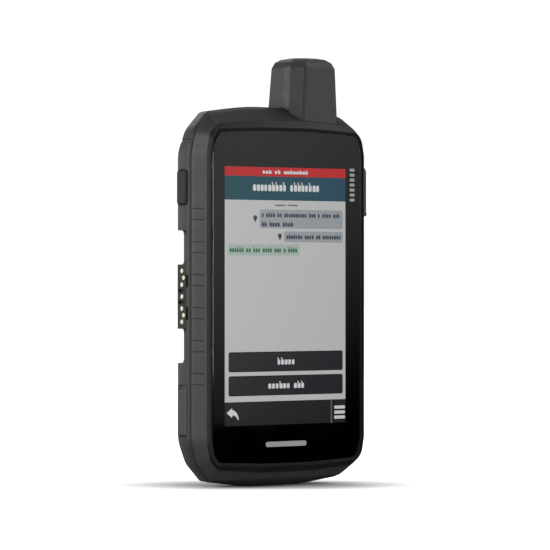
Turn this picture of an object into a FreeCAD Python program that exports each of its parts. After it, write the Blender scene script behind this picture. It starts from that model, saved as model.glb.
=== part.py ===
import FreeCAD, Part
import os
from math import acos, cos, hypot, pi, sin, tan

# A rugged handheld satellite navigator, in millimetres. X is to the right, Y to the back and Z up.
# The origin is under the body's middle, on the surface that it stands on.
# "Depth" always means the distance behind the glass face, so Y = FRONT + depth.

# ---- overall size ----
HEIGHT = 183.0          # to the top of the antenna
BODY_HEIGHT = 161.4
HALF_WIDTH = 44.9
THICKNESS = 32.7
FRONT = -THICKNESS / 2
MIDDLE = BODY_HEIGHT / 2

# ---- depths of the layers ----
GLASS_THICK = 1.4
DISPLAY_AT = 2.0
DISPLAY_THICK = 2.2
TRAY_THICK = 1.4
CHASSIS_AT = 6.2
CHASSIS_THICK = 1.2
BOARD_AT = 9.0
BOARD_THICK = 1.2
BOARD_BACK = BOARD_AT + BOARD_THICK
SEAM = 9.7              # where the front bezel meets the rear housing
SIDE_END = 18.5         # where the side wall turns into the rear bevel
BACK = 29.5             # the housing's back face
DOOR_FACE = 32.0
WALL = 2.2

# ---- display and glass ----
SCREEN_WIDE, SCREEN_HIGH, SCREEN_LOW = 65.5, 109.1, 26.35
GLASS_HALF, GLASS_LOW, GLASS_HIGH = 40.1, 9.9, 151.1
GASKET_GAP = 1.0        # between the glass and the bezel
LIP_HALF, LIP_LOW, LIP_HIGH = 41.6, 8.9, 152.2
BREAK_HALF, BREAK_LOW, BREAK_HIGH, BREAK_AT = 42.2, 6.2, 155.25, 1.5
SEAM_DIPS = [(0.0, 0.62), (0.5, 0.3), (1.2, 0.09), (2.3, 0.0)]     # away from the seam, in from the skin
BASE_CUT = 0.08         # the housing's foot is planed off by this, which makes a flat place to stand on

# ---- side details ----
NOTCH_HIGH, NOTCH_IN, NOTCH_AT = 14.3, 5.5, 12.4
UPPER_NOTCH, LOWER_NOTCH = 94.25, 52.85         # lower edges
BLOCK_LOW, BLOCK_HIGH = LOWER_NOTCH + NOTCH_HIGH, UPPER_NOTCH
PAD_HIGH, PAD_PITCH, PAD_COUNT = 5.0, 13.81, 6
PINS = [(15.4, 91.5), (14.2, 88.6), (15.4, 85.7), (15.4, MIDDLE), (15.4, 75.7), (14.2, 72.9), (15.4, 70.1)]
PIN_R, PIN_END = 1.05, -45.0
BLOCK_SLOTS = [83.15, 78.3]
SIDE_SLOTS = [(84.8, 89.8), (70.9, 76.3)]       # in the side wall, in front of the contact block
STEP_LOW, STEP_HIGH = 145.6, 146.9      # a shallow groove across both side walls
GAP = 0.3               # round the button and the caps

POWER = dict(low=119.4, high=133.8, near=11.6, far=18.3)
USB = dict(low=22.2, high=43.3, near=11.9, far=18.3)
USB_AT = dict(depth=14.65, z=35.5, half_deep=1.5, half_high=4.2)
SOS = dict(low=115.2, high=136.4, near=3.6, far=16.4)
SOS_FACE, SOS_FLOOR = 46.0, 42.9
POWER_FACE, USB_FACE, BLOCK_OUT = -45.7, -44.95, 0.12
KNUCKLE_R = 0.8
SOS_KNUCKLE_R = 1.1

# ---- antenna ----
ANTENNA = dict(left=5.1, right=32.0, near=2.0, far=26.1, bevel=4.5, low=152.9)
CROWN_LOW = 178.6
CROWN = [(181.1, 1.1), (182.4, 3.2), (HEIGHT, 6.0)]     # heights and insets of the crown's facets
FORMER = dict(x=18.0, depth=13.0, half=4.5, low=155.5, high=179.0)

# ---- battery bay, door and latch ----
BAY_HALF, BAY_LOW, BAY_HIGH, BAY_FLOOR = 26.5, 40.5, 107.5, 16.0
DOOR_HALF, DOOR_LOW, DOOR_HIGH = 29.0, 11.5, 111.0
DOOR_GROOVES = [52.0 + 8.0 * i for i in range(6)]
LATCH_Z = 25.5
DISH_R, DISH_AT = 12.0, 29.0
SHAFT_R, SHAFT_GAP = 3.0, 0.05
RING_AT, RING_BAR_R, RING_OUT, RING_IN = 30.9, 1.1, 10.4, 7.8
PLATE_AT, PLATE_THICK = 25.4, 1.0

# ---- back top ----
RAIL_LOW, RAIL_HIGH, RAIL_NECK, RAIL_HEAD = 116.0, 148.0, 5.0, 8.0
JACK_X, JACK_Z = 21.5, 131.0
JACK_CAP = dict(left=15.5, right=27.5, low=120.0, high=138.0)
SPEAKER_X, SPEAKER_Z = -20.5, 128.0

# ---- screws ----
SCREWS = [(side * x, z) for x, z in ((36.2, 15.0), (38.3, 114.0), (36.2, 146.0)) for side in (-1, 1)]
BOARD_SCREWS = [(-28.0, 18.5), (28.0, 18.5), (-28.0, 145.5), (28.0, 145.5)]
SCREW_HEAD_R, SCREW_R, BOSS_R = 2.2, 1.0, 2.7
SCREW_FLOOR = 17.0


def at(x, depth, z):
    return FreeCAD.Vector(x, FRONT + depth, z)


# ---- planes for 2D outlines ----
def facing_front(depth):
    return lambda u, v: at(u, depth, v)


def facing_side(x):
    return lambda u, v: at(x, u, v)


def facing_up(z):
    return lambda u, v: at(u, v, z)


def rounded(corners, radii, place):
    """A closed wire through 2D corners, each rounded by its radius, put in space by place."""
    if not isinstance(radii, (list, tuple)):
        radii = [radii] * len(corners)
    arcs = []
    for i, (x, y) in enumerate(corners):
        arms = []
        for other in (corners[i - 1], corners[(i + 1) % len(corners)]):
            length = hypot(other[0] - x, other[1] - y)
            arms.append(((other[0] - x) / length, (other[1] - y) / length))
        (ax, ay), (bx, by) = arms
        half_turn = (pi - acos(max(-1.0, min(1.0, ax * bx + ay * by)))) / 2
        run = radii[i] * tan(half_turn)
        inwards = radii[i] / cos(half_turn) - radii[i]
        middle = hypot(ax + bx, ay + by)
        arcs.append((
            place(x + run * ax, y + run * ay),
            place(x + inwards * (ax + bx) / middle, y + inwards * (ay + by) / middle),
            place(x + run * bx, y + run * by),
        ))
    edges = []
    for i, (start, middle, end) in enumerate(arcs):
        edges.append(Part.Arc(start, middle, end).toShape())
        following = arcs[(i + 1) % len(arcs)][0]
        if end.distanceToPoint(following) > 1e-6:
            edges.append(Part.LineSegment(end, following).toShape())
    return Part.Wire(edges)


def polygon(corners, place):
    points = [place(u, v) for u, v in corners]
    return Part.makePolygon(points + points[:1])


def loft(wires):
    return Part.makeLoft(wires, True, True)


def prism(wire, x=0.0, y=0.0, z=0.0):
    return Part.Face(wire).extrude(FreeCAD.Vector(x, y, z))


def box(x0, x1, d0, d1, z0, z1):
    return Part.makeBox(x1 - x0, d1 - d0, z1 - z0, at(x0, d0, z0))


def rectangle(u0, u1, v0, v1):
    return [(u0, v0), (u1, v0), (u1, v1), (u0, v1)]


def slab(x0, x1, d0, d1, z0, z1, radius):
    """A plate facing the front, with rounded corners."""
    return prism(rounded(rectangle(x0, x1, z0, z1), radius, facing_front(d0)), y=d1 - d0)


def side_slab(x0, x1, d0, d1, z0, z1, radius):
    """A plate facing sideways, with rounded corners."""
    return prism(rounded(rectangle(d0, d1, z0, z1), radius, facing_side(x0)), x=x1 - x0)


def rod_y(x, z, d0, d1, radius):
    return Part.makeCylinder(radius, d1 - d0, at(x, d0, z), FreeCAD.Vector(0, 1, 0))


def rod_x(x0, x1, depth, z, radius):
    return Part.makeCylinder(radius, x1 - x0, at(x0, depth, z), FreeCAD.Vector(1, 0, 0))


def rod_z(x, depth, z0, z1, radius):
    return Part.makeCylinder(radius, z1 - z0, at(x, depth, z0), FreeCAD.Vector(0, 0, 1))


def mirror_x(shape):
    return shape.mirror(FreeCAD.Vector(0, 0, 0), FreeCAD.Vector(1, 0, 0))


def joined(shapes):
    return shapes[0].fuse(shapes[1:]).removeSplitter() if len(shapes) > 1 else shapes[0]


def group(shapes):
    return Part.makeCompound(shapes)


# ---- the body's outline ----
# One quarter of an outline, from the bottom middle outwards: a bowed edge, a cut corner and the side.
# flat and turn are shares of the half width, where the bowed edge starts and ends, and bow is its rise.
# The cut corner ends cut_in from the side at cut_up, and the straight side starts at side_up.
def shape_of(flat, turn, bow, cut_in, cut_up, side_up, radii):
    return dict(flat=flat, turn=turn, bow=bow, cut_in=cut_in, cut_up=cut_up, side_up=side_up, radii=radii)


GLASS_SHAPE = shape_of(0.31, 0.913, 1.2, 1.2, 4.6, 11.0, (130, 4, 6, 12))
BREAK_SHAPE = shape_of(0.31, 0.862, 1.9, 1.6, 5.95, 13.5, (130, 5, 6, 20))
SEAM_SHAPE = shape_of(0.312, 0.78, 2.5, 2.5, 10.2, 19.5, (110, 4, 12, 20))
REAR_SHAPE = shape_of(0.312, 0.745, 2.7, 3.9, 10.4, 20.0, (110, 4, 8, 15))


def blend(one, two, share):
    """The shape that is this share of the way from one to two."""
    mix = {key: one[key] + share * (two[key] - one[key]) for key in one if key != "radii"}
    mix["radii"] = [r + share * (s - r) for r, s in zip(one["radii"], two["radii"])]
    return mix


def outline(half_width, low, depth, shape, high=None):
    """The outline at one depth. It is as far from the top as from the bottom unless high is given."""
    high = BODY_HEIGHT - low if high is None else high
    quarter = [
        (shape["flat"] * half_width, 0.0),
        (shape["turn"] * half_width, shape["bow"]),
        (half_width - shape["cut_in"], shape["cut_up"]),
        (half_width, shape["side_up"]),
    ]
    shrink = half_width / HALF_WIDTH
    radii = [r * shrink for r in shape["radii"]]
    corners = [(x, low + rise) for x, rise in quarter]
    corners += [(x, high - rise) for x, rise in reversed(quarter)]
    corners += [(-x, high - rise) for x, rise in quarter]
    corners += [(-x, low + rise) for x, rise in reversed(quarter)]
    return rounded(corners, radii + radii[::-1] + radii + radii[::-1], facing_front(depth))


def casing(levels, wall=0.0):
    """The rear casing through levels, each being (depth, in at the sides, in at the ends)."""
    wires = []
    for depth, side, end in levels:
        share = min(1.0, (depth - SEAM) / (SIDE_END - SEAM))
        shape = blend(SEAM_SHAPE, REAR_SHAPE, share)
        wires.append(outline(HALF_WIDTH - side - wall, end + wall, depth, shape))
    return loft(wires)


def front_skin():
    """The bezel's outside: a lip, a steep edge, and a flank that widens towards the seam."""
    wires = [
        outline(LIP_HALF, LIP_LOW, 0.0, GLASS_SHAPE, LIP_HIGH),
        outline(BREAK_HALF, BREAK_LOW, BREAK_AT, BREAK_SHAPE, BREAK_HIGH),
    ]
    for away, dip in reversed(SEAM_DIPS):
        share = (SEAM - away - BREAK_AT) / (SEAM - BREAK_AT)
        half = BREAK_HALF + share * (HALF_WIDTH - BREAK_HALF) - dip
        low = BREAK_LOW * (1.0 - share) + dip
        high = BREAK_HIGH + share * (BODY_HEIGHT - BREAK_HIGH) - dip
        wires.append(outline(half, low, SEAM - away, blend(BREAK_SHAPE, SEAM_SHAPE, share), high))
    return loft(wires)


REAR_LEVELS = [(SEAM + away, dip, dip - BASE_CUT * away / SEAM_DIPS[-1][0]) for away, dip in SEAM_DIPS]
REAR_LEVELS += [
    (SIDE_END, 0.2, -BASE_CUT),
    (23.3, 8.9, 0.2),
    (28.6, 11.9, 3.4),
    (BACK, 12.8, 4.3),
]
REAR_SKIN = casing(REAR_LEVELS).cut(box(-50, 50, 0, 40, -5, 0))
CAVITY_LEVELS = [(11.6, 0.0, 0.0), (SIDE_END - 0.7, 0.4, 0.0), (22.3, 8.9, 0.2), (BACK - WALL, 11.5, 3.2)]
FRONT_SKIN = front_skin()


# ---- antenna ----
def antenna_corners(z, inset=0.0):
    """The eight-sided section at a height: it tapers upwards."""
    climb = (z - ANTENNA["low"]) / (CROWN_LOW - ANTENNA["low"])
    left = ANTENNA["left"] + 1.6 * climb + inset
    right = ANTENNA["right"] - 1.0 * climb - inset
    near = ANTENNA["near"] + 0.5 * climb + inset
    far = ANTENNA["far"] - 1.2 * climb - inset
    bevel = ANTENNA["bevel"] - 0.3 * inset
    return [
        (left + bevel, near), (right - bevel, near), (right, near + bevel), (right, far - bevel),
        (right - bevel, far), (left + bevel, far), (left, far - bevel), (left, near + bevel),
    ]


def antenna_shell():
    radius = 0.9
    wires = [rounded(antenna_corners(z), radius, facing_up(z)) for z in (ANTENNA["low"], CROWN_LOW)]
    wires += [rounded(antenna_corners(CROWN_LOW, inset), radius, facing_up(z)) for z, inset in CROWN]
    return loft(wires)


def antenna_groove():
    """A thin groove up the front left corner of the antenna."""
    half, deep = 0.45, 0.6
    sections = []
    for z in (ANTENNA["low"] + 1.0, CROWN_LOW + 0.4):
        ring = antenna_corners(z)
        (x, depth), (far_x, far_depth) = ring[0], ring[7]
        length = hypot(far_x - x, far_depth - depth)
        ax, ad = (far_x - x) / length, (far_depth - depth) / length
        corners = [(x + i * half * ax - j * deep * ad, depth + i * half * ad + j * deep * ax)
                   for i, j in ((-1, 1), (1, 1), (1, -1), (-1, -1))]
        sections.append(polygon(corners, facing_up(z)))
    return loft(sections)


def antenna_scoop():
    """A wedge cut out of the antenna's left face, deepest behind the corner's ridge."""
    wide, deep, out = 4.4, 0.45, 0.6
    sections = []
    for z in (ANTENNA["low"] + 1.0, CROWN_LOW + 0.6):
        x, depth = antenna_corners(z)[7]
        near, far = depth + 0.1, depth + wide
        corners = [(x - out, near), (x + deep, near + 0.3), (x, far), (x - out, far)]
        sections.append(polygon(corners, facing_up(z)))
    return loft(sections)


def antenna_cover():
    shell = antenna_shell()
    hollow_low = [rounded(antenna_corners(z, 2.0), 0.9, facing_up(z)) for z in (ANTENNA["low"] - 0.1, 180.0)]
    shell = shell.cut(loft(hollow_low))
    return shell.cut([antenna_groove(), antenna_scoop()])


def antenna_hole():
    """The space that the antenna's foot takes in the casings, with a hairline gap."""
    low = ANTENNA["low"] - 1.0
    return loft([rounded(antenna_corners(z, -0.08), 0.9, facing_up(z)) for z in (low, CROWN_LOW)])


def antenna_seal():
    ring = prism(rounded(antenna_corners(ANTENNA["low"], 0.3), 0.9, facing_up(ANTENNA["low"] - 0.9)), z=0.9)
    hole = prism(rounded(antenna_corners(ANTENNA["low"], 3.4), 0.9, facing_up(ANTENNA["low"] - 0.9)), z=0.9)
    return ring.cut(hole)


def antenna_former():
    x, depth, half = FORMER["x"], FORMER["depth"], FORMER["half"]
    block = box(x - half, x + half, depth - half, depth + half, FORMER["low"], FORMER["high"])
    foot = box(x - 6.5, x + 6.5, depth - 6.5, depth + 6.5, ANTENNA["low"] + 1.0, FORMER["low"])
    return joined([block, foot]).cut(rod_z(x, depth, ANTENNA["low"] + 1.0, FORMER["high"] - 3.0, 2.4))


def antenna_traces():
    """One slanted metal strip on each of the former's four faces."""
    x, depth, half = FORMER["x"], FORMER["depth"], FORMER["half"]
    low, high = FORMER["low"] + 0.6, FORMER["high"] - 1.0
    skew = [(-half + 0.4, low), (-half + 2.2, low), (half - 0.4, high), (half - 2.2, high)]
    strip = prism(polygon([(x + u, v) for u, v in skew], facing_front(depth - half - 0.12)), y=0.12)
    axis = FreeCAD.Vector(0, 0, 1)
    strips = []
    for quarter in range(4):
        turned = strip.copy()
        turned.rotate(at(x, depth, 0), axis, 90 * quarter)
        strips.append(turned)
    return group(strips)


def antenna_feed():
    return rod_z(FORMER["x"], BOARD_BACK + 2.0, 147.6, ANTENNA["low"] + 1.0, 0.7)


# ---- front of the body ----
def pad_grooves():
    """The shallow grooves above and below the grip pads on both sides of the bezel."""
    thin, deep, near, far = 0.38, 0.28, 2.9, SEAM - 0.2
    lean = (HALF_WIDTH - BREAK_HALF) / (SEAM - BREAK_AT)
    skin_near, skin_far = BREAK_HALF + lean * (near - BREAK_AT), BREAK_HALF + lean * (far - BREAK_AT)
    ring = [(skin_near - deep, near), (skin_near + 1, near), (skin_far + 1, far), (skin_far - deep, far)]
    cuts = []
    for i in range(PAD_COUNT):
        low = MIDDLE + (i - (PAD_COUNT - 1) / 2) * PAD_PITCH - PAD_HIGH / 2
        cuts += [prism(polygon(ring, facing_up(z)), z=thin) for z in (low, low + PAD_HIGH - thin)]
    return cuts + [mirror_x(cut) for cut in cuts]


def round_it(x0, x1, side, radius):
    """The space for a button or a cap, with the gap all round it."""
    near, far = side["near"] - GAP, side["far"] + GAP
    return side_slab(x0, x1, near, far, side["low"] - GAP, side["high"] + GAP, radius)


def sos_recess():
    return round_it(SOS_FLOOR, 50.0, SOS, 0.6)


def seal_ring(half_width, low, depth, thick):
    return prism(outline(half_width, low, depth, SEAM_SHAPE), y=thick)


def housing_seal():
    ring = seal_ring(42.4, 2.4, SEAM - 0.4, 0.8)
    return ring.cut([seal_ring(41.6, 3.2, SEAM - 0.4, 0.8), antenna_hole()])


def glass_prism(grow, d0, d1):
    """A plate with the glass's outline, grown all round."""
    return prism(outline(GLASS_HALF + grow, GLASS_LOW - grow, d0, GLASS_SHAPE, GLASS_HIGH + grow), y=d1 - d0)


def window(d0, d1):
    """The opening in front of the display."""
    return slab(-35.6, 35.6, d0, d1, 22.0, 141.0, 2.0)


def front_bezel():
    shape = FRONT_SKIN.cut([
        glass_prism(GASKET_GAP, -0.5, DISPLAY_AT),
        window(0.5, 4.0),
        prism(outline(40.4, 8.9, DISPLAY_AT + 1.6, SEAM_SHAPE), y=SEAM),
    ])
    bosses = [rod_y(x, z, DISPLAY_AT + 1.4, SEAM, BOSS_R) for x, z in SCREWS]
    shape = joined([shape] + [boss.common(FRONT_SKIN) for boss in bosses])
    cuts = pad_grooves()
    cuts += [sos_recess(), housing_seal(), antenna_hole()]
    cuts += [rod_y(x, z, 5.0, SEAM + 0.1, SCREW_R) for x, z in SCREWS]
    return shape.cut(cuts)


def cover_glass():
    edge = 0.25
    return loft([
        outline(GLASS_HALF - edge, GLASS_LOW + edge, 0.0, GLASS_SHAPE, GLASS_HIGH - edge),
        outline(GLASS_HALF, GLASS_LOW, edge, GLASS_SHAPE, GLASS_HIGH),
        outline(GLASS_HALF, GLASS_LOW, GLASS_THICK, GLASS_SHAPE, GLASS_HIGH),
    ])


def lens_gasket():
    outer = glass_prism(GASKET_GAP - 0.02, 0.55, DISPLAY_AT)
    return outer.cut([glass_prism(0.0, 0.5, GLASS_THICK), window(0.4, 2.5)])


def lcd_panel():
    margin = 1.6
    return slab(-SCREEN_WIDE / 2 - margin, SCREEN_WIDE / 2 + margin, DISPLAY_AT, DISPLAY_AT + DISPLAY_THICK,
                SCREEN_LOW - 3.6, SCREEN_LOW + SCREEN_HIGH + margin, 1.0)


def backlight_tray():
    near = DISPLAY_AT + DISPLAY_THICK
    plate = slab(-35.2, 35.2, near, near + TRAY_THICK, 22.4, 138.2, 1.5)
    relief = slab(-30, 30, near + 0.8, near + TRAY_THICK, 60, 130, 3.0)
    return plate.cut(relief)


def display_flex():
    """The ribbon from the display's foot, back round the tray and the chassis to the board."""
    half, near = 7.0, 3.7
    front = box(-half, half, near, near + 0.2, 17.5, 22.7)
    down = box(-half, half, near, BOARD_BACK + 0.9, 17.3, 17.5)
    end = box(-half, half, BOARD_BACK + 0.7, BOARD_BACK + 0.9, 17.5, 24.0)
    plug = box(-half + 0.6, half - 0.6, BOARD_BACK, BOARD_BACK + 0.7, 19.6, 23.6)
    return joined([front, down, end, plug])


def chassis_plate():
    plate = slab(-38.6, 38.6, CHASSIS_AT, CHASSIS_AT + CHASSIS_THICK, 20.5, 137.5, 3.0)
    neck = slab(-32.0, 32.0, CHASSIS_AT, CHASSIS_AT + CHASSIS_THICK, 14.5, 149.5, 3.0)
    posts = [rod_y(x, z, CHASSIS_AT + CHASSIS_THICK, BOARD_AT, 2.2) for x, z in BOARD_SCREWS]
    shape = joined([plate, neck] + posts)
    windows = [slab(-9, 9, CHASSIS_AT, CHASSIS_AT + CHASSIS_THICK, 16.0, 19.0, 1.0)]
    windows += [slab(x - 9, x + 9, CHASSIS_AT, CHASSIS_AT + CHASSIS_THICK, z - 12, z + 12, 2.5)
                for x in (-24, 0, 24) for z in (48, 88, 124)]
    bosses = [rod_y(x, z, CHASSIS_AT, CHASSIS_AT + CHASSIS_THICK, BOSS_R + 0.3) for x, z in SCREWS]
    drills = [rod_y(x, z, CHASSIS_AT, BOARD_AT, 0.8) for x, z in BOARD_SCREWS]
    return shape.cut(windows + bosses + drills)


# ---- electronics ----
def main_board():
    board = slab(-31.5, 31.5, BOARD_AT, BOARD_BACK, 15.0, 149.0, 2.0)
    arms = slab(-38.0, 38.0, BOARD_AT, BOARD_BACK, 28.0, 108.0, 2.0)
    upper = slab(-36.5, 36.5, BOARD_AT, BOARD_BACK, 120.5, 136.0, 2.0)
    cuts = [rod_y(x, z, BOARD_AT, BOARD_BACK, 1.1) for x, z in BOARD_SCREWS]
    cuts.append(slab(-8, 8, BOARD_AT, BOARD_BACK, 14.0, 18.0, 0.5))
    return joined([board, arms, upper]).cut(cuts)


def board_screws():
    screws = []
    for x, z in BOARD_SCREWS:
        head = rod_y(x, z, BOARD_BACK, BOARD_BACK + 1.1, 1.9)
        shank = rod_y(x, z, CHASSIS_AT + CHASSIS_THICK, BOARD_BACK, 0.8)
        cross = [box(x - 1.1, x + 1.1, BOARD_BACK + 0.6, BOARD_BACK + 1.1, z - 0.2, z + 0.2),
                 box(x - 0.2, x + 0.2, BOARD_BACK + 0.6, BOARD_BACK + 1.1, z - 1.1, z + 1.1)]
        screws.append(joined([head, shank]).cut(cross))
    return group(screws)


def shield_can(x0, x1, z0, z1):
    tall, sheet = 2.6, 0.25
    can = slab(x0, x1, BOARD_BACK, BOARD_BACK + tall, z0, z1, 0.6)
    inside = slab(x0 + sheet, x1 - sheet, BOARD_BACK, BOARD_BACK + tall - sheet, z0 + sheet, z1 - sheet, 0.4)
    return can.cut(inside)


def shield_cans():
    return group([shield_can(-24, 2, 34, 60), shield_can(8, 25, 46, 78), shield_can(-22, -2, 84, 106)])


def patch_antenna():
    return joined([slab(-28, -10, BOARD_BACK, BOARD_BACK + 4, 138.0, 142.5, 0.5),
                   slab(-28, -10, BOARD_BACK, BOARD_BACK + 4, 124.5, 142.5, 0.8)])


def speaker():
    inner = BACK - WALL
    body = slab(SPEAKER_X - 8, SPEAKER_X + 8, inner - 5.2, inner - 0.6, SPEAKER_Z - 6, SPEAKER_Z + 6, 3.0)
    rim_low, rim_high = SPEAKER_Z - 4.8, SPEAKER_Z + 4.8
    rim = slab(SPEAKER_X - 6.6, SPEAKER_X + 6.6, inner - 0.6, inner - 0.3, rim_low, rim_high, 2.4)
    return joined([body, rim])


def speaker_mesh():
    return slab(SPEAKER_X - 7.4, SPEAKER_X + 7.4, BACK - WALL - 0.3, BACK - WALL, SPEAKER_Z - 5.4,
                SPEAKER_Z + 5.4, 2.6)


def power_switch():
    body = box(-39.6, -36.6, 12.6, 16.6, 123.6, 129.6)
    plunger = side_slab(-40.6, -39.6, 13.6, 15.6, 125.1, 128.1, 0.6)
    return joined([body, plunger])


def sos_switch():
    body = box(35.6, 38.4, 10.8, 14.8, 122.8, 130.8)
    plunger = side_slab(38.4, 39.4, 11.8, 13.8, 125.3, 128.3, 0.6)
    return joined([body, plunger])


def usb_port():
    d, z = USB_AT["depth"], USB_AT["z"]
    outer = side_slab(-42.4, -35.4, d - USB_AT["half_deep"], d + USB_AT["half_deep"],
                      z - USB_AT["half_high"], z + USB_AT["half_high"], 0.8)
    inner = side_slab(-42.4, -36.2, d - 1.2, d + 1.2, z - 3.9, z + 3.9, 0.6)
    return outer.cut(inner)


def usb_tongue():
    d, z = USB_AT["depth"], USB_AT["z"]
    return box(-41.2, -36.2, d - 0.3, d + 0.3, z - 2.8, z + 2.8)


def antenna_jack():
    barrel = rod_y(JACK_X, JACK_Z, 20.0, 27.6, 2.6).cut(rod_y(JACK_X, JACK_Z, 22.0, 27.6, 1.7))
    pin = rod_y(JACK_X, JACK_Z, 21.5, 26.4, 0.45)
    lead = rod_y(JACK_X, JACK_Z, BOARD_BACK, 20.0, 1.2)
    return joined([barrel, pin, lead])


# ---- rear housing ----
def notch(low):
    """A cradle notch in the left side: open to the side and to the back, with rounded inner corners."""
    corners = [(-50.0, low), (-HALF_WIDTH + NOTCH_IN, low), (-HALF_WIDTH + NOTCH_IN, low + NOTCH_HIGH),
               (-50.0, low + NOTCH_HIGH)]
    return prism(rounded(corners, [0.4, 1.8, 1.8, 0.4], facing_front(NOTCH_AT)), y=30)


def notch_walls(low):
    """The housing's own skin behind a notch."""
    skin = slab(-HALF_WIDTH, -HALF_WIDTH + NOTCH_IN + WALL, NOTCH_AT - WALL + 0.2, 30, low - WALL,
                low + NOTCH_HIGH + WALL, 2.0)
    return skin.common(REAR_SKIN)


def block_seat():
    return box(-50.0, -40.6, NOTCH_AT, 40, BLOCK_LOW, BLOCK_HIGH)


def rear_housing():
    hollow = [casing(CAVITY_LEVELS, WALL), prism(outline(40.4, 4.5, SEAM - 0.1, SEAM_SHAPE), y=2.1)]
    shell = REAR_SKIN.cut(hollow)
    tub = slab(-BAY_HALF - 1.5, BAY_HALF + 1.5, BAY_FLOOR - 1.5, 29.0, BAY_LOW - 1.5, BAY_HIGH + 1.5, 3.0)
    well = rod_y(0, LATCH_Z, 18.0, BACK, 15.0)
    jack_boss = slab(JACK_CAP["left"] - 2, JACK_CAP["right"] + 2, 25.4, 28.5, JACK_CAP["low"] - 2,
                     JACK_CAP["high"] + 2, 2.0)
    screw_bosses = [rod_y(x, z, SEAM, 22.0, BOSS_R + 0.6) for x, z in SCREWS]
    usb_boss = box(-43.5, -39.6, 10.0, 20.0, USB["low"] - 2, USB["high"] + 2)
    power_boss = box(-43.5, -41.2, 9.9, 20.0, POWER["low"] - 2, POWER["high"] + 2)
    sos_boss = box(40.6, 43.5, 9.8, 18.0, SOS["low"] - 2, SOS["high"] + 2)
    inside = [tub, well, jack_boss, usb_boss, power_boss, sos_boss] + screw_bosses
    walls = [notch_walls(low) for low in (UPPER_NOTCH, LOWER_NOTCH)]
    walls.append(slab(-43.5, -38.4, NOTCH_AT - 2, 20.0, BLOCK_LOW - 1, BLOCK_HIGH + 1, 0.5).common(REAR_SKIN))
    walls += [mirror_x(notch_walls(low)) for low in (UPPER_NOTCH, LOWER_NOTCH)]
    rail = [(-RAIL_NECK, BACK - 0.5), (RAIL_NECK, BACK - 0.5), (RAIL_NECK, 31.2), (RAIL_HEAD, 31.2),
            (RAIL_HEAD, THICKNESS), (-RAIL_HEAD, THICKNESS), (-RAIL_HEAD, 31.2), (-RAIL_NECK, 31.2)]
    rail_solid = prism(polygon(rail, facing_up(RAIL_LOW)), z=RAIL_HIGH - RAIL_LOW)
    shell = shell.fuse([piece.common(REAR_SKIN) for piece in inside] + walls + [rail_solid])
    return shell.cut(housing_cuts())


def housing_cuts():
    cuts = [slab(-BAY_HALF, BAY_HALF, BAY_FLOOR, 40, BAY_LOW, BAY_HIGH, 2.0)]
    cuts += [rod_y(0, LATCH_Z, 20.0, 40, 8.2), rod_y(0, LATCH_Z, PLATE_AT, 40, 9.0),
             rod_y(0, LATCH_Z, 27.5, 40, 13.4)]
    for low in (UPPER_NOTCH, LOWER_NOTCH):
        cuts += [notch(low), mirror_x(notch(low))]
    cuts.append(block_seat())
    cuts += [round_it(-50.0, -38.0, POWER, 1.6), round_it(-50.0, -43.1, USB, 0.9), sos_recess()]
    cuts += [housing_seal(), antenna_hole()]
    cuts.append(side_slab(-44.0, -36.0, USB_AT["depth"] - 1.55, USB_AT["depth"] + 1.55,
                          USB_AT["z"] - 4.25, USB_AT["z"] + 4.25, 0.8))
    cuts.append(side_slab(-43.2, -42.4, 12.1, 17.2, 29.0, 41.8, 1.0))
    cuts.append(side_slab(38.0, 43.5, 10.4, 15.2, 121.4, 132.2, 2.2))
    cuts.append(side_slab(38.0, 41.6, 9.9, 15.8, 120.8, 132.8, 1.0))
    cuts.append(rod_y(JACK_X, JACK_Z, 20.0, 32.0, 3.4))
    cuts.append(slab(JACK_CAP["left"] - GAP, JACK_CAP["right"] + GAP, BACK - 1.6, 40, JACK_CAP["low"] - GAP,
                     JACK_CAP["high"] + GAP, 0.3))
    for i in range(-2, 3):
        z = SPEAKER_Z + 2.0 * i
        cuts.append(slab(SPEAKER_X - 5, SPEAKER_X + 5, BACK - WALL - 0.1, 40, z - 0.5, z + 0.5, 0.49))
    for x, z in SCREWS:
        cuts += [rod_y(x, z, SCREW_FLOOR, 40, SCREW_HEAD_R + 0.3), rod_y(x, z, SEAM - 1, 20, SCREW_R + 0.2)]
    step = box(-46, -42.3, SEAM + 0.2, SIDE_END + 0.3, STEP_LOW, STEP_HIGH)
    cuts += [step, mirror_x(step)]
    cuts += [box(-46, -HALF_WIDTH + 0.8, 11.1, NOTCH_AT - 0.05, low, high) for low, high in SIDE_SLOTS]
    cuts.append(slab(-14, 14, BAY_FLOOR - 1.6, BAY_FLOOR + 0.1, 52, 70, 0.5))
    cuts.append(slab(-6, 6, BAY_FLOOR + 5, BAY_FLOOR + 9, BAY_HIGH - 0.1, BAY_HIGH + 1.6, 0.3))
    return cuts


def contact_block():
    skin = REAR_SKIN.translated(FreeCAD.Vector(-BLOCK_OUT, 0, 0))
    block = box(-46, -40.7, NOTCH_AT + 0.05, 40, BLOCK_LOW + 0.02, BLOCK_HIGH - 0.02).common(skin)
    cuts = [rod_x(-46, -39, depth, z, PIN_R) for depth, z in PINS]
    cuts += [box(-46, -HALF_WIDTH + 1.2, NOTCH_AT + 0.8, 18.0, z - 0.6, z + 0.6) for z in BLOCK_SLOTS]
    return block.cut(cuts)


def contact_pins():
    pins = []
    for depth, z in PINS:
        barrel = rod_x(PIN_END, -40.7, depth, z, PIN_R)
        rim = [edge for edge in barrel.Edges if edge.Closed and abs(edge.CenterOfMass.x - PIN_END) < 0.01]
        pins.append(barrel.makeChamfer(0.12, rim))
    return group(pins)


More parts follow.
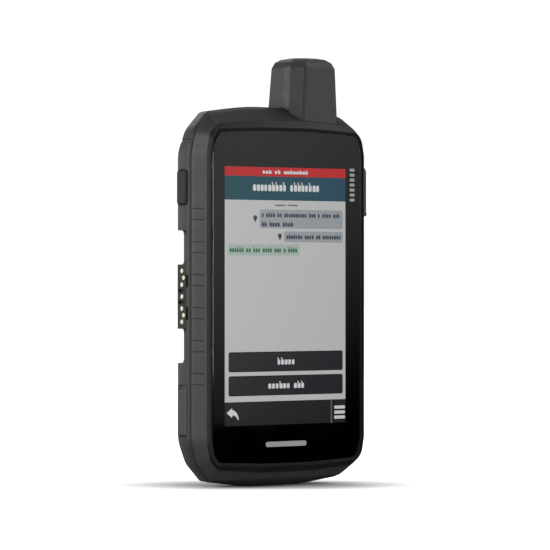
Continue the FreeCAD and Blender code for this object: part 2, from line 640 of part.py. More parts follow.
def housing_screws():
    screws = []
    for x, z in SCREWS:
        head = rod_y(x, z, SCREW_FLOOR, SCREW_FLOOR + 1.8, SCREW_HEAD_R)
        shank = rod_y(x, z, 5.0, SCREW_FLOOR, SCREW_R)
        socket = [(x + 1.25 * cos(i * pi / 3), z + 1.25 * sin(i * pi / 3)) for i in range(6)]
        drive = prism(polygon(socket, facing_front(SCREW_FLOOR + 0.8)), y=1.5)
        screws.append(joined([head, shank]).cut(drive))
    return group(screws)


# ---- battery bay ----
def battery_pack():
    pack = slab(-25.5, 25.5, BAY_FLOOR + 0.3, 28.2, BAY_LOW + 1.0, BAY_HIGH - 2.6, 2.5)
    contact_recess = slab(-5, 5, BAY_FLOOR + 5.4, BAY_FLOOR + 8.6, BAY_HIGH - 3.2, BAY_HIGH - 2.6, 0.3)
    card_recess = slab(-13.5, 13.5, BAY_FLOOR + 0.3, BAY_FLOOR + 1.6, 53, 69, 0.5)
    return pack.cut([contact_recess, card_recess])


def battery_springs():
    springs = []
    for x in (-3.6, -1.2, 1.2, 3.6):
        foot = box(x - 0.5, x + 0.5, BAY_FLOOR + 5.2, BAY_FLOOR + 8.8, BAY_HIGH + 0.9, BAY_HIGH + 1.4)
        blade = box(x - 0.5, x + 0.5, BAY_FLOOR + 5.6, BAY_FLOOR + 6.0, BAY_HIGH - 2.4, BAY_HIGH + 0.9)
        springs.append(joined([foot, blade]))
    return group(springs)


def card_socket():
    frame = slab(-13.8, 4.2, BAY_FLOOR - 1.5, BAY_FLOOR + 0.2, 52.2, 69.8, 0.6)
    slot = slab(-10.5, 0.9, BAY_FLOOR - 0.9, BAY_FLOOR, 51.0, 67.0, 0.4)
    return frame.cut(slot)


def memory_card():
    return slab(-10.3, 0.7, BAY_FLOOR - 0.85, BAY_FLOOR - 0.05, 52.4, 66.8, 0.35)


def catch_plate():
    disc = rod_y(0, LATCH_Z, PLATE_AT, PLATE_AT + PLATE_THICK, 8.95)
    keyhole = [rod_y(0, LATCH_Z, PLATE_AT, PLATE_AT + PLATE_THICK, SHAFT_R + 0.35),
               slab(-7.6, 7.6, PLATE_AT, PLATE_AT + PLATE_THICK, LATCH_Z - 2.6, LATCH_Z + 2.6, 0.6)]
    return disc.cut(keyhole)


# ---- battery door ----
def door_wire(depth, inset):
    half, low, high = DOOR_HALF - inset, DOOR_LOW + inset, DOOR_HIGH - inset
    cut = 6.0
    corners = [(-half + cut, low), (half - cut, low), (half, low + cut), (half, high - cut),
               (half - cut, high), (-half + cut, high), (-half, high - cut), (-half, low + cut)]
    return rounded(corners, 2.5, facing_front(depth))


def battery_door():
    skin = loft([door_wire(BACK + 0.15, 0.0), door_wire(31.0, 0.0), door_wire(DOOR_FACE, 1.6)])
    hollow = slab(-DOOR_HALF + 4.2, DOOR_HALF - 4.2, 29.4, DOOR_FACE - 1.6, BAY_LOW + 2, BAY_HIGH - 2, 2.0)
    hub = rod_y(0, LATCH_Z, 27.8, 31.0, 13.0)
    collar = slab(-BAY_HALF + 0.4, BAY_HALF - 0.4, 28.5, BACK + 0.2, BAY_LOW + 0.4, BAY_HIGH - 0.4, 1.8)
    shape = joined([skin, hub, collar]).cut(hollow)
    ribs = [slab(-22.0, 22.0, DOOR_FACE - 0.45, DOOR_FACE + 1, z - 0.6, z + 0.6, 0.5) for z in DOOR_GROOVES]
    dish = [rod_y(0, LATCH_Z, DISH_AT, 40, DISH_R), rod_y(0, LATCH_Z, 20, 40, SHAFT_R + SHAFT_GAP)]
    recess = slab(-BAY_HALF + 1.6, BAY_HALF - 1.6, 28.4, 29.5, BAY_LOW + 1.6, BAY_HIGH - 1.6, 1.2)
    return shape.cut(dish + ribs + [recess])


def battery_seal():
    depth, thick = BACK, 0.15
    outer = slab(-DOOR_HALF + 0.9, DOOR_HALF - 0.9, depth, depth + thick, BAY_LOW - 1.2, DOOR_HIGH - 1.0, 5.0)
    return outer.cut(slab(-BAY_HALF, BAY_HALF, depth, depth + thick, BAY_LOW, BAY_HIGH, 2.0))


def latch_rotor():
    disc = rod_y(0, LATCH_Z, DISH_AT + 0.1, DISH_AT + 0.7, DISH_R - 0.35)
    shaft = rod_y(0, LATCH_Z, 23.0, DISH_AT + 0.2, SHAFT_R)
    tab = slab(-7.2, 7.2, 23.0, 24.6, LATCH_Z - 2.2, LATCH_Z + 2.2, 0.8)
    hub = slab(-4.0, 4.0, DISH_AT + 0.6, 32.6, LATCH_Z - 1.9, LATCH_Z + 1.9, 0.6)
    bore = rod_x(-5, 5, RING_AT, LATCH_Z, RING_BAR_R + 0.06)
    return joined([disc, shaft, tab, hub]).cut(bore)


def latch_ring():
    """A half ring that hangs from a straight bar, hinged on the latch."""
    near, far = RING_AT - RING_BAR_R, RING_AT + RING_BAR_R
    ring = rod_y(0, LATCH_Z, near, far, RING_OUT).cut([
        rod_y(0, LATCH_Z, near, far, RING_IN),
        box(-20, 20, near, far, LATCH_Z, LATCH_Z + 20),
    ])
    return joined([ring, rod_x(-RING_OUT, RING_OUT, RING_AT, LATCH_Z, RING_BAR_R)])


# ---- buttons and caps ----
def power_button():
    near, far, low, high = POWER["near"], POWER["far"], POWER["low"], POWER["high"]

    def ring(x, inset):
        return rounded(rectangle(near + inset, far - inset, low + inset, high - inset), 1.3, facing_side(x))

    cap = loft([ring(POWER_FACE, 0.55), ring(POWER_FACE + 0.4, 0.0), ring(-42.4, 0.0)])
    stem = side_slab(-42.5, -41.4, 13.2, 16.0, 123.6, 129.6, 0.8)
    marks = [rod_x(POWER_FACE - 1, POWER_FACE + 0.2, 14.6, z, 0.45) for z in (125.6, 128.0)]
    return joined([cap, stem]).cut(marks)


def usb_cap():
    """A flush cover that swings down on the knuckle along its lower end."""
    low = USB["low"] + KNUCKLE_R
    outer, inner = USB_FACE, -43.15
    leaf = side_slab(outer, inner, USB["near"], USB["far"], low, USB["high"], 0.5)
    leaf = leaf.cut(box(outer, inner, USB["near"], USB["far"], low - 1, low))
    foot = box(outer, inner, USB["near"], USB["far"], low, low + 1.2)
    knuckle = Part.makeCylinder(KNUCKLE_R, USB["far"] - USB["near"], at(outer + KNUCKLE_R, USB["near"], low),
                                FreeCAD.Vector(0, 1, 0))
    plug = side_slab(inner, inner + 0.65, 12.6, 16.7, 30.4, 41.2, 0.8)
    finger = rod_y(outer - 0.9, USB["high"] - 0.4, USB["near"] + 1.2, USB["far"] - 1.2, 1.5)
    return joined([leaf, foot, knuckle, plug]).cut(finger)


def sos_cap():
    """The raised guard over the distress button. It swings down on the knuckle at its lower end."""
    near, far, low, high = SOS["near"], SOS["far"], SOS["low"] + SOS_KNUCKLE_R, SOS["high"]
    inner = SOS_FACE - 2 * SOS_KNUCKLE_R
    radii = [0.3, 0.3, 2.0, 2.0]

    def ring(x, inset):
        return rounded(rectangle(near + inset, far - inset, low, high - inset), radii, facing_side(x))

    leaf = loft([ring(inner, 0.0), ring(SOS_FACE - 0.35, 0.0), ring(SOS_FACE, 0.35)])
    skirt = side_slab(SOS_FLOOR + 0.05, inner + 0.1, near, near + 4.5, low + 0.3, high - 0.3, 0.3)
    knuckle = Part.makeCylinder(SOS_KNUCKLE_R, far - near, at(SOS_FACE - SOS_KNUCKLE_R, near, low),
                                FreeCAD.Vector(0, 1, 0))
    return joined([leaf, skirt, knuckle])


def sos_button():
    near, far, low, high = 10.6, 15.0, 121.6, 132.0
    head = side_slab(41.2, 43.1, near, far, low, high, 2.0)
    return joined([head, side_slab(40.2, 41.2, near - 0.5, far + 0.5, low - 0.4, high + 0.4, 0.8)])


def jack_cap():
    """The weather cap over the external antenna jack, hinged along its lower edge."""
    radius = 0.65
    left, right, low, high = JACK_CAP["left"], JACK_CAP["right"], JACK_CAP["low"] + radius, JACK_CAP["high"]
    leaf = slab(left, right, BACK - 1.3, BACK, low, high, 1.2)
    foot = box(left, right, BACK - 1.3, BACK, low, low + 1.5)
    knuckle = rod_x(left, right, BACK - radius, low, radius)
    plug = rod_y(JACK_X, JACK_Z, BACK - 1.8, BACK - 1.2, 2.8)
    lift = box(JACK_X - 3, JACK_X + 3, BACK - 0.6, BACK, high - 0.9, high)
    return joined([leaf, foot, knuckle, plug]).cut(lift)


NODES = [
    front_bezel, cover_glass, lens_gasket, lcd_panel, backlight_tray, display_flex, chassis_plate, main_board,
    board_screws, shield_cans, patch_antenna, speaker, speaker_mesh, rear_housing, housing_seal,
    housing_screws, antenna_cover, antenna_seal, antenna_former, antenna_traces, antenna_feed, contact_block,
    contact_pins,
    usb_port, usb_tongue, antenna_jack, power_switch, sos_switch, battery_pack, battery_springs, card_socket,
    memory_card, catch_plate, battery_door, battery_seal, latch_rotor, latch_ring, power_button, usb_cap,
    sos_cap, sos_button, jack_cap,
]

os.makedirs("parts", exist_ok=True)
for make in NODES:
    shape = make()
    name = make.__name__
    box_mm = shape.BoundBox
    print(f"{name:16s} solids {len(shape.Solids)} valid {shape.isValid()} volume {shape.Volume:10.1f}"
          f"  X {box_mm.XMin:7.2f} {box_mm.XMax:7.2f}  Y {box_mm.YMin:7.2f} {box_mm.YMax:7.2f}"
          f"  Z {box_mm.ZMin:7.2f} {box_mm.ZMax:7.2f}")
    shape.exportStep(f"parts/{name}.step")
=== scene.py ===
import math
import random

import bmesh
import bpy
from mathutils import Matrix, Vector


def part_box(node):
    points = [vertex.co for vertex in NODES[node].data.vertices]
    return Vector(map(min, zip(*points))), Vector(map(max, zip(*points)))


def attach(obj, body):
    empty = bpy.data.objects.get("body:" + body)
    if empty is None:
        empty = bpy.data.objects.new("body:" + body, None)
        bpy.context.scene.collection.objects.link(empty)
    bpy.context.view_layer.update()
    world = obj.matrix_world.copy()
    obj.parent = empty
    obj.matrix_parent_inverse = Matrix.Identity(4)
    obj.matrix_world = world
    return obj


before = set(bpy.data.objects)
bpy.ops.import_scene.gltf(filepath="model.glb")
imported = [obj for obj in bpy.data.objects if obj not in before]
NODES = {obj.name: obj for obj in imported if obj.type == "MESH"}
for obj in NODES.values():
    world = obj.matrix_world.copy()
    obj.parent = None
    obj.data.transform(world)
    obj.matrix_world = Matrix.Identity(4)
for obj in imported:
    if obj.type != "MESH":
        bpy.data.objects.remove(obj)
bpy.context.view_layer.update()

MM = 0.001
GLASS_LOW, GLASS_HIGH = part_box("cover_glass")
GLASS_FACE = GLASS_LOW[1]
PANEL_LOW, PANEL_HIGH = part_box("lcd_panel")

# The view and the lights, in metres, degrees and watts.
CENTRE = Vector((0, 0, 0.09))
VIEW_TURN = math.radians(38.0)          # how far the camera is round to the unit's left
VIEW_AWAY, VIEW_ASIDE, VIEW_HEIGHT = 1.424, 0.005735, 0.0898
LENS_MM, SENSOR_MM = 219.5, 36.0
LOOK = Vector((math.sin(VIEW_TURN), math.cos(VIEW_TURN), 0))
LIGHTS = {                              # place, width and height, power
    "left_light": ((-1.2, 0.75, 0.3), (0.8, 1.0), 11.0),
    "corner_light": ((-1.2, -1.2, 0.2), (0.8, 0.8), 8.0),
    "front_light": ((-0.1, -1.7, 0.12), (0.8, 0.8), 6.0),
    "right_light": ((1.4, -0.35, 0.75), (0.8, 0.8), 8.0),
    "top_light": ((0.1, 0.1, 1.6), (1.4, 1.4), 4.0),
    "back_light": ((0.7, 1.3, 0.7), (1.2, 1.0), 7.0),
}
SKY_SEEN, SKY_FELT = 1.05, 0.10         # the surroundings' strength to the eye, and to matt surfaces
FLOOR_WIDE, FLOOR_WHITE, FLOOR_GLOW, FLOOR_BOUNCE = 12.0, 0.74, 1.1, 0.32
SHADOW_START, SHADOW_END = 0.02, 0.10   # where the floor starts to glow, and where it is pure white
SHADOW_SQUEEZE = 1.8                    # how much shallower the shadow is than it is wide
CARD_WIDE, CARD_AWAY, CARD_HEIGHT, CARD_LEAN = 0.7, 0.6, 0.33, 0.83
CARD_DARK, CARD_FULL, CARD_GLOW = -0.36, -0.12, 0.76    # where its fade starts and ends, and its strength

# The lit page. Depths are behind the glass face and heights are below the screen's upper edge, in mm.
PANEL_MARGIN = 1.6 * MM
SCREEN_WIDE = (PANEL_HIGH[0] - PANEL_LOW[0]) - 2 * PANEL_MARGIN
SCREEN_TOP = PANEL_HIGH[2] - PANEL_MARGIN
SCREEN_HIGH = 109.1 * MM
HALF = SCREEN_WIDE / 2 / MM
LEVELS = {"page": 1.94, "bar": 1.90, "bubble": 1.88, "ink": 1.84}
LAYER_THICK = 0.025
PRINT_THICK = 0.03
PIXEL_MM = 0.11
ALERT_END, HEADER_END, FOOT_START, FOOT_HIGH = 3.9, 14.0, 99.1, 10.0
BUTTON_TOPS, BUTTON_HIGH, BUTTON_RIM = (78.1, 88.2), 8.45, 0.4
BUBBLE_RIGHT, BUBBLE_ROUND = 31.2, 0.9
LINE_HIGH, LETTER_HIGH = 2.7, 3.6       # a message line, and the buttons' larger one
TICK_PITCH = 2.15                       # of the menu's bars, and of the ticks beside the page


def depth(mm):
    """The Y of a depth behind the glass face."""
    return GLASS_FACE + mm * MM


# ---- material kit ----
class Graph:
    """Adds nodes to a node tree and links them."""

    def __init__(self, tree):
        self.tree = tree

    def add(self, kind, values=None, links=None, **settings):
        """A node with its settings, the plain values of its sockets and the sources linked to them."""
        node = self.tree.nodes.new(kind)
        for key, value in settings.items():
            setattr(node, key, value)
        for key, value in (values or {}).items():
            node.inputs[key].default_value = value
        for key, source in (links or {}).items():
            self.tree.links.new(source, node.inputs[key])
        return node

    def pick(self, share, first, second):
        """A mix of two shaders: the first where share is 0, the second where it is 1."""
        links = {0: share, 1: first.outputs[0], 2: second.outputs[0]}
        return self.add("ShaderNodeMixShader", links=links)


class Surface(Graph):
    """A Principled material whose detail comes from nodes in object space."""

    def __init__(self, name, **plain):
        self.material = bpy.data.materials.new(name)
        self.material.use_nodes = True
        super().__init__(self.material.node_tree)
        self.shader = self.tree.nodes["Principled BSDF"]
        for socket, value in plain.items():
            self.shader.inputs[socket.replace("_", " ")].default_value = value
        self.coords = self.add("ShaderNodeTexCoord").outputs["Object"]

    def plug(self, source, socket):
        self.tree.links.new(source, self.shader.inputs[socket])

    def noise(self, size_mm, detail=2.0, stretch=(1, 1, 1), roughness=0.5):
        """Noise whose blobs are about size_mm across."""
        place = self.add("ShaderNodeMapping", {"Scale": stretch}, {"Vector": self.coords})
        node = self.add("ShaderNodeTexNoise",
                        {"Scale": 1 / (size_mm * MM), "Detail": detail, "Roughness": roughness},
                        {"Vector": place.outputs[0]})
        return node.outputs["Fac"]

    def spread(self, source, low, high, start=0.3, end=0.7):
        """A value from low to high as the source goes from start to end."""
        node = self.add("ShaderNodeMapRange", {1: start, 2: end, 3: low, 4: high}, {0: source})
        return node.outputs[0]

    def tint(self, factor, first, second):
        """A mix of two colours, either of them plain or from a node."""
        node = self.add("ShaderNodeMix", data_type="RGBA")
        self.tree.links.new(factor, node.inputs["Factor"])
        for index, colour in ((6, first), (7, second)):
            if isinstance(colour, (tuple, list)):
                node.inputs[index].default_value = (*colour[:3], 1)
            else:
                self.tree.links.new(colour, node.inputs[index])
        return node.outputs[2]

    def along(self, axis, start_mm, end_mm, first, last):
        """A factor that changes along an axis; along Y the places are depths behind the glass face."""
        shift = GLASS_FACE if axis == "Y" else 0.0
        place = self.add("ShaderNodeSeparateXYZ", links={0: self.coords}).outputs[axis]
        return self.spread(place, first, last, shift + start_mm * MM, shift + end_mm * MM)

    def scaled(self, colour, factor):
        """A colour made lighter or darker by a factor."""
        node = self.add("ShaderNodeVectorMath", links={0: colour, "Scale": factor}, operation="SCALE")
        return node.outputs["Vector"]

    def edge_wear_and_highlight(self, radius_mm):
        """Bright where the surface turns sharply, partly rubbed wear and partly a painted highlight, and the
        softened normal there.
        """
        bevel = self.add("ShaderNodeBevel", {"Radius": radius_mm * MM}, samples=6)
        normal = self.add("ShaderNodeNewGeometry").outputs["Normal"]
        turn = self.add("ShaderNodeVectorMath", links={0: bevel.outputs[0], 1: normal},
                        operation="DOT_PRODUCT")
        return self.spread(turn.outputs["Value"], 1.0, 0.0, 0.80, 0.985), bevel.outputs[0]

    def bump(self, height, strength, deep_mm, normal=None):
        node = self.add("ShaderNodeBump", {"Strength": strength, "Distance": deep_mm * MM},
                        {"Height": height})
        if normal is not None:
            self.tree.links.new(normal, node.inputs["Normal"])
        return node.outputs["Normal"]


def shade(grey, tone=(1.0, 1.0, 1.0)):
    """A grey with a cast, or a colour made darker by a factor."""
    return tuple(grey * t for t in tone)


def moulded(name, grey, rough=0.5, grain=0.25, tone=(1.0, 1.0, 1.03), wear_and_highlight=0.5, sheen=0.0, painted_light_ramps=(),
            painted_nook_shade=None):
    """Moulded plastic or rubber: spark-eroded grain, faint flow marks, and edges a little lighter, partly
    rubbed wear and partly a painted highlight.

    Each ramp changes the tone along an axis, as painted light and shade.
    The nook setting is (reach in mm, factor) and darkens corners and ground beside raised parts: painted
    shade.
    """
    s = Surface(name, Specular_IOR_Level=0.5)
    s.shader.inputs["Sheen Weight"].default_value = sheen
    cloud = s.noise(14.0, 4.0)
    speck = s.noise(0.22, 2.0)
    rub = s.noise(2.5, 5.0, roughness=0.7)
    edge, normal = s.edge_wear_and_highlight(0.3)
    # Edge lightening: partly rubbed wear and partly a painted highlight along sharp edges.
    worn_and_lit_edge = s.add("ShaderNodeMath", links={0: edge, 1: s.spread(rub, 0.1, 1.0, 0.35, 0.65)},
                 operation="MULTIPLY").outputs[0]
    body = s.tint(s.spread(cloud, 0, 1), shade(grey * 0.9, tone), shade(grey * 1.1, tone))
    flecked = s.tint(s.spread(speck, 0, 0.35), body, shade(grey * 1.5, tone))
    edge_lightening = s.add("ShaderNodeMath", {1: wear_and_highlight}, {0: worn_and_lit_edge}, operation="MULTIPLY").outputs[0]
    colour = s.tint(edge_lightening, flecked, shade(grey * 2.2, tone))
    # Painted light and shade: the tone is made lighter in some places and darker in others along an axis.
    for ramp in painted_light_ramps:
        colour = s.scaled(colour, s.along(*ramp))
    # Painted shade: corners and places beside raised parts are darkened by how shut in they are.
    if painted_nook_shade:
        reach, factor = painted_nook_shade
        open_sky = s.add("ShaderNodeAmbientOcclusion", {"Distance": reach * MM}, samples=8).outputs["AO"]
        colour = s.scaled(colour, s.spread(open_sky, factor, 1.0, 0.45, 0.95))
    s.plug(colour, "Base Color")
    s.plug(s.spread(rub, rough - 0.06, rough + 0.07), "Roughness")
    s.plug(s.bump(speck, grain, 0.03, normal), "Normal")
    return s.material


def metal(name, colour, rough, brushed=(1, 1, 1), grain_mm=0.3):
    """Plated or brushed metal: fine lines along the brushing, dull patches and softened edges."""
    s = Surface(name, Metallic=1.0)
    lines = s.noise(grain_mm, 3.0, brushed)
    haze = s.noise(3.0, 4.0)
    normal = s.edge_wear_and_highlight(0.15)[1]
    s.plug(s.tint(s.spread(haze, 0, 1), shade(0.82, colour), colour), "Base Color")
    s.plug(s.spread(lines, rough - 0.08, rough + 0.12), "Roughness")
    s.plug(s.bump(lines, 0.12, 0.01, normal), "Normal")
    return s.material


def lit(name, colour, second=None):
    """A lit patch of the display: its own light, a faint cell pattern and a slow change across the panel."""
    s = Surface(name, Roughness=0.4, Emission_Strength=1.0, Specular_IOR_Level=0.0)
    s.shader.inputs["Base Color"].default_value = (0.01, 0.01, 0.01, 1)
    place = s.add("ShaderNodeSeparateXYZ", links={0: s.coords})
    across = s.add("ShaderNodeMapRange", {1: -SCREEN_WIDE / 2, 2: SCREEN_WIDE / 2, 3: 0.0, 4: 1.0},
                   {0: place.outputs["X"]}).outputs[0]
    cloud = s.add("ShaderNodeMath", {1: 0.12}, {0: s.noise(30.0, 2.0)}, operation="MULTIPLY").outputs[0]
    drift = s.add("ShaderNodeMath", links={0: across, 1: cloud}, operation="ADD").outputs[0]
    base = s.tint(drift, colour, second or shade(0.9, colour))
    cells = s.add("ShaderNodeTexChecker", {"Scale": 1 / (PIXEL_MM * MM), "Color1": (1, 1, 1, 1),
                                           "Color2": (0.94, 0.94, 0.94, 1)}, {"Vector": s.coords})
    product = s.add("ShaderNodeMix", {"Factor": 1.0}, {6: base, 7: cells.outputs["Color"]}, data_type="RGBA",
                    blend_type="MULTIPLY")
    s.plug(product.outputs[2], "Emission Color")
    return s.material


def pane(name):
    """Thin clear glass: see-through, with a polished front that mirrors and is a little smeared."""
    s = Surface(name)
    clear = s.add("ShaderNodeBsdfTransparent", {"Color": (0.97, 0.975, 0.97, 1)})
    smears = s.noise(9.0, 5.0, (1.0, 1.0, 0.4), 0.65)
    gloss = s.add("ShaderNodeBsdfGlossy", {"Color": (1, 1, 1, 1)},
                  {"Roughness": s.spread(smears, 0.03, 0.075)})
    mirror = s.add("ShaderNodeFresnel", {"IOR": 1.52})
    inside = s.add("ShaderNodeNewGeometry").outputs["Backfacing"]
    outside = s.add("ShaderNodeMath", {0: 1.0}, {1: inside}, operation="SUBTRACT").outputs[0]
    share = s.add("ShaderNodeMath", links={0: mirror.outputs[0], 1: outside}, operation="MULTIPLY").outputs[0]
    both = s.pick(share, clear, gloss)
    out = s.tree.nodes["Material Output"]
    s.tree.links.new(both.outputs[0], out.inputs["Surface"])
    s.tree.nodes.remove(s.shader)
    return s.material


def printed(name, grey):
    """Ink printed behind the glass, a touch uneven."""
    s = Surface(name, Roughness=0.6, Specular_IOR_Level=0.0)
    s.plug(s.tint(s.noise(0.6, 3.0), shade(grey * 0.85), shade(grey * 1.15)), "Base Color")
    s.plug(s.bump(s.noise(0.2), 0.05, 0.01), "Normal")
    return s.material


def laminate(name):
    """A circuit board: solder mask with darker copper tracks under it."""
    s = Surface(name, Roughness=0.35)
    tracks = s.add("ShaderNodeTexBrick", {"Scale": 1 / (4.0 * MM), "Color1": (0.01, 0.09, 0.045, 1),
                                          "Color2": (0.015, 0.12, 0.06, 1), "Mortar": (0.02, 0.19, 0.09, 1),
                                          "Mortar Size": 0.03}, {"Vector": s.coords})
    s.plug(tracks.outputs["Color"], "Base Color")
    s.plug(s.bump(tracks.outputs["Fac"], 0.3, 0.02), "Normal")
    s.plug(s.spread(s.noise(1.5), 0.3, 0.45), "Roughness")
    return s.material


def woven(name, grey, pitch_mm):
    """Fine speaker cloth: threads over and under."""
    s = Surface(name)
    weave = s.add("ShaderNodeTexChecker", {"Scale": 1 / (pitch_mm * MM), "Color1": (*shade(grey), 1),
                                           "Color2": (*shade(grey * 2), 1)}, {"Vector": s.coords})
    s.plug(weave.outputs["Color"], "Base Color")
    s.plug(s.bump(weave.outputs["Fac"], 0.5, 0.05), "Normal")
    s.plug(s.spread(s.noise(0.4), 0.75, 0.95), "Roughness")
    return s.material


# ---- outlines and plates ----
def arc(x, z, wide, high, start, end, steps):
    """Points along an ellipse's arc seen from the front, from one angle to another in degrees."""
    turns = [math.radians(start + (end - start) * step / steps) for step in range(steps + 1)]
    return [(x + wide * math.cos(turn), z + high * math.sin(turn)) for turn in turns]


def rounded_rectangle(x0, x1, z0, z1, radius, steps=5):
    """Corners of a rounded rectangle, anticlockwise seen from the front, in mm."""
    radius = min(radius, (x1 - x0) / 2, (z1 - z0) / 2)
    points = []
    for cx, cz, start in ((x1 - radius, z0 + radius, 270), (x1 - radius, z1 - radius, 0),
                          (x0 + radius, z1 - radius, 90), (x0 + radius, z0 + radius, 180)):
        points += arc(cx, cz, radius, radius, start, start + 90, steps)
    return points


def plates(name, outlines, near, thick, material, hole=None):
    """Flat plates facing the front. Outlines are in mm of X and Z, near and thick in mm of depth."""
    mesh = bmesh.new()
    for outline in outlines:
        rings = [outline] + ([hole] if hole else [])
        edges = []
        for ring in rings:
            corners = [mesh.verts.new((x * MM, depth(near), z * MM)) for x, z in ring]
            edges += [mesh.edges.new((a, b)) for a, b in zip(corners, corners[1:] + corners[:1])]
        filled = bmesh.ops.triangle_fill(mesh, edges=edges, use_beauty=True, normal=(0, -1, 0))
        faces = [part for part in filled["geom"] if isinstance(part, bmesh.types.BMFace)]
        grown = bmesh.ops.extrude_face_region(mesh, geom=faces, use_keep_orig=True)
        moved = [part for part in grown["geom"] if isinstance(part, bmesh.types.BMVert)]
        bmesh.ops.translate(mesh, verts=moved, vec=(0, thick * MM, 0))
    bmesh.ops.remove_doubles(mesh, verts=mesh.verts, dist=1e-8)
    bmesh.ops.recalc_face_normals(mesh, faces=mesh.faces)
    data = bpy.data.meshes.new(name)
    mesh.to_mesh(data)
    mesh.free()
    piece = bpy.data.objects.new(name, data)
    bpy.context.collection.objects.link(piece)
    data.materials.append(material)
    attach(piece, "housing")


def row(top, high):
    """The Z range, in mm, of a band that starts top below the screen's upper edge."""
    z1 = SCREEN_TOP / MM - top
    return z1 - high, z1


def band(left, right, top, high, radius=0.01):
    """A bar of the page, sharp-cornered unless a radius is given."""
    return rounded_rectangle(left, right, *row(top, high), radius)


def placeholder_words(left, right, top, high, words, seed):
    """Blocks where words would be: low blocks with a few thin uprights, and wider gaps between words."""
    rng = random.Random(seed)
    gap = 0.9
    units = sum(words) + gap * (len(words) - 1)
    pitch = (right - left) / units
    base, full = row(top, high)
    foot, head = base + 0.14 * high, base + 0.74 * high
    blocks, x = [], left
    for length in words:
        for _ in range(length):
            wide = pitch * rng.uniform(0.7, 0.86)
            blocks.append(rounded_rectangle(x, x + wide, foot, head, high * 0.12, 2))
            if rng.random() < 0.3:
                blocks.append(rounded_rectangle(x, x + 0.26 * pitch, head - 0.01, full, high * 0.04, 2))
            x += pitch
        x += gap * pitch
    return blocks


def drop_marker(x, top, high):
    """A small map pin: a round head on a point."""
    z0, z1 = row(top, high)
    radius = high * 0.34
    return [(x, z0)] + arc(x, z1 - radius, radius, radius, -40, 220, 12)


def back_arrow(x, top, wide, high):
    """A curved arrow that points left."""
    z0, z1 = row(top, high)
    neck = x - 0.05 * wide
    head = [(neck, z1), (x - wide / 2, z0 + 0.62 * high), (neck, z0 + 0.24 * high)]
    inner = arc(neck, z0, 0.46 * wide, 0.44 * high, 86, 10, 8)
    outer = arc(neck, z0, 0.55 * wide, 0.84 * high, 4, 88, 8)
    return head + inner + outer


# ---- the lit page ----
def show(name, outlines, level, material):
    """One layer of the lit page."""
    plates(name, outlines, LEVELS[level], LAYER_THICK, material)


def page_and_bars():
    page = lit("lit_page", (0.492, 0.492, 0.492), (0.462, 0.462, 0.462))
    show("screen_page", [band(-HALF, HALF, HEADER_END, FOOT_START - HEADER_END)], "page", page)
    red = lit("lit_alert", (0.445, 0.008, 0.008), (0.47, 0.004, 0.006))
    show("screen_alert_bar", [band(-HALF, HALF, 0, ALERT_END)], "bar", red)
    teal = lit("lit_header", (0.003, 0.058, 0.078), (0.004, 0.050, 0.085))
    show("screen_header_bar", [band(-HALF, HALF, ALERT_END, HEADER_END - ALERT_END)], "bar", teal)
    foot = lit("lit_foot", (0.017, 0.0165, 0.0165), (0.0145, 0.0145, 0.0145))
    show("screen_foot_bar", [band(-HALF, HALF, FOOT_START, FOOT_HIGH)], "bar", foot)


def bubbles():
    blue = lit("lit_sent", (0.31, 0.33, 0.355), (0.28, 0.30, 0.33))
    sent = [band(left, BUBBLE_RIGHT, top, high, BUBBLE_ROUND)
            for left, top, high in ((-14.0, 17.9, 8.0), (-0.9, 27.1, 4.6))]
    show("screen_sent_bubbles", sent, "bubble", blue)
    green = lit("lit_received", (0.35, 0.43, 0.39), (0.33, 0.41, 0.37))
    show("screen_received_bubble", [band(-30.7, 7.3, 32.7, 4.7, BUBBLE_ROUND)], "bubble", green)


def buttons():
    rim = lit("lit_button_rim", (0.010, 0.010, 0.013))
    left, right = -30.5, BUBBLE_RIGHT
    rims = [band(left, right, top, BUTTON_HIGH, BUBBLE_ROUND) for top in BUTTON_TOPS]
    show("screen_button_rims", rims, "bar", rim)
    key = lit("lit_button", (0.0195, 0.0190, 0.0235), (0.0160, 0.0155, 0.0195))
    key_high = BUTTON_HIGH - 2 * BUTTON_RIM
    keys = [band(left + BUTTON_RIM, right - BUTTON_RIM, top + BUTTON_RIM, key_high, 0.6)
            for top in BUTTON_TOPS]
    show("screen_buttons", keys, "bubble", key)


